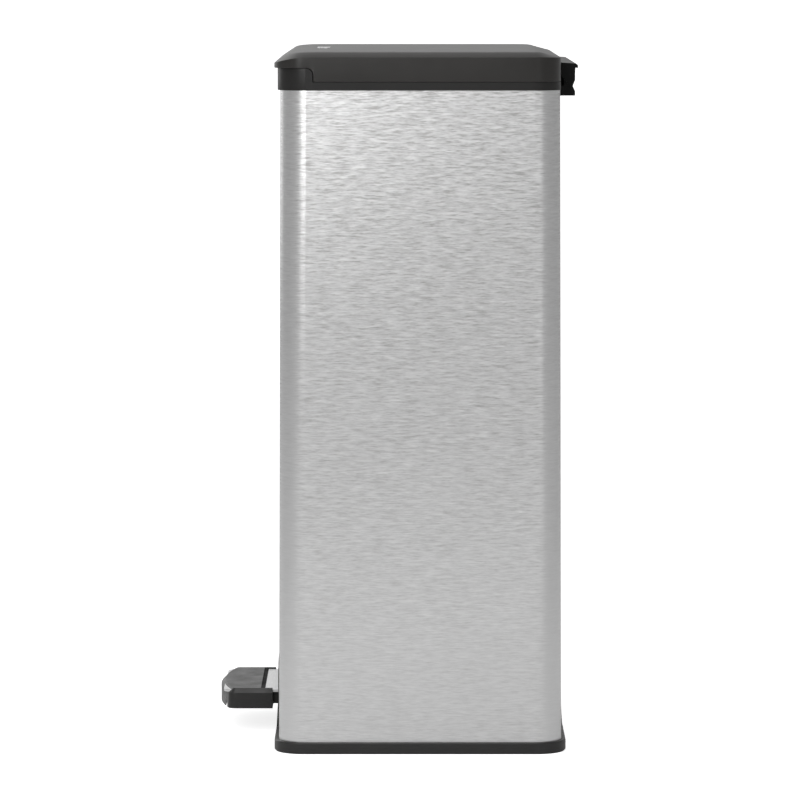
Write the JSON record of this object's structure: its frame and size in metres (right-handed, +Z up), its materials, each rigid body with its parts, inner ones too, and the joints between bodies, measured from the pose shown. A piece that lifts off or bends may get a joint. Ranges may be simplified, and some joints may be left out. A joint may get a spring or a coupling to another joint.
{
  "type": "pedal trash can",
  "caption": "Rectangular step can: brushed steel shell, dark moulded base, collar and hinged lid, a front pedal that lifts the lid through a rod, and an inner bucket.",
  "frame": {"origin": "on the floor, at the middle of the body's footprint", "axes": "+Z up, the pedal side faces -Y, +X to the right seen from the pedal side"},
  "size_m": [0.4, 0.336, 0.6464],
  "materials": {
    "brushed_steel_shell": "brushed level round the shell, satin",
    "black_moulding": "fine satin moulding",
    "dark_moulding": "fine satin moulding",
    "lid_moulding": "satin moulding",
    "pedal_moulding": "satin moulding",
    "hinge_moulding": "fine satin moulding",
    "rubber_black": "matte",
    "bucket_grey": "matte moulding",
    "zinc_screw": "zinc plated",
    "zinc_plate": "zinc plated sheet",
    "steel_pin": "ground",
    "steel_rod": "drawn wire",
    "spring_steel": "oiled spring steel",
    "pedal_steel": "satin sheet",
    "nylon_white": "natural nylon",
    "damper_grey": "moulded",
    "badge_aluminium": "satin, blank"
  },
  "bodies": {
    "frame": {"outer_shell": "brushed_steel_shell", "base": "black_moulding", "anti_slip_pads": "rubber_black", "bucket_deck": "black_moulding", "deck_screws": "zinc_screw", "inner_bucket": "bucket_grey", "top_collar": "dark_moulding", "hinge_housing": "hinge_moulding", "hinge_screws": "zinc_screw", "hinge_pins": "steel_pin", "pivot_pin": "steel_pin", "pivot_clips": "spring_steel", "rod_guide": "nylon_white", "damper_cylinder": "damper_grey", "damper_screws": "zinc_screw"},
    "lid": {"lid_outer": "lid_moulding", "lid_liner": "dark_moulding", "lid_screws": "zinc_screw", "lid_crank": "zinc_plate", "crank_screws": "zinc_screw", "lid_bumpers": "rubber_black", "badge": "badge_aluminium", "hinge_cover": "hinge_moulding"},
    "pedal": {"pedal_pad": "pedal_moulding", "pedal_strip": "rubber_black", "pedal_lever": "pedal_steel", "pedal_screws": "zinc_screw", "pivot_bushes": "nylon_white"},
    "lift_rod": {"lift_rod": "steel_rod", "rod_clips": "spring_steel"},
    "damper_rod": {"damper_piston": "steel_rod"}
  },
  "joints": [
    {"name": "lid_hinge", "type": "hinge", "parent": "frame", "child": "lid", "pos_m": [0, 0.136, 0.622], "axis": [-1, 0, 0], "range_deg": [0, 80]},
    {"name": "pedal_pivot", "type": "hinge", "parent": "frame", "child": "pedal", "pos_m": [0, -0.075, 0.03], "axis": [1, 0, 0], "range_deg": [0, 9.34]},
    {"name": "rod_pivot", "type": "hinge", "parent": "lid", "child": "lift_rod", "pos_m": [0.02, 0.11731, 0.60632], "axis": [-1, 0, 0], "range_deg": [-80, 0]},
    {"name": "damper_slide", "type": "slide", "parent": "frame", "child": "damper_rod", "axis": [0, 0, 1], "range_m": [0, 0.0315]}
  ],
  "couplings": [
    {"joint": "pedal_pivot", "follows": "lid_hinge", "ratio": 0.11669},
    {"joint": "rod_pivot", "follows": "lid_hinge", "ratio": -1},
    {"joint": "damper_slide", "follows": "lid_hinge", "m_per_rad": 0.02244}
  ]
}
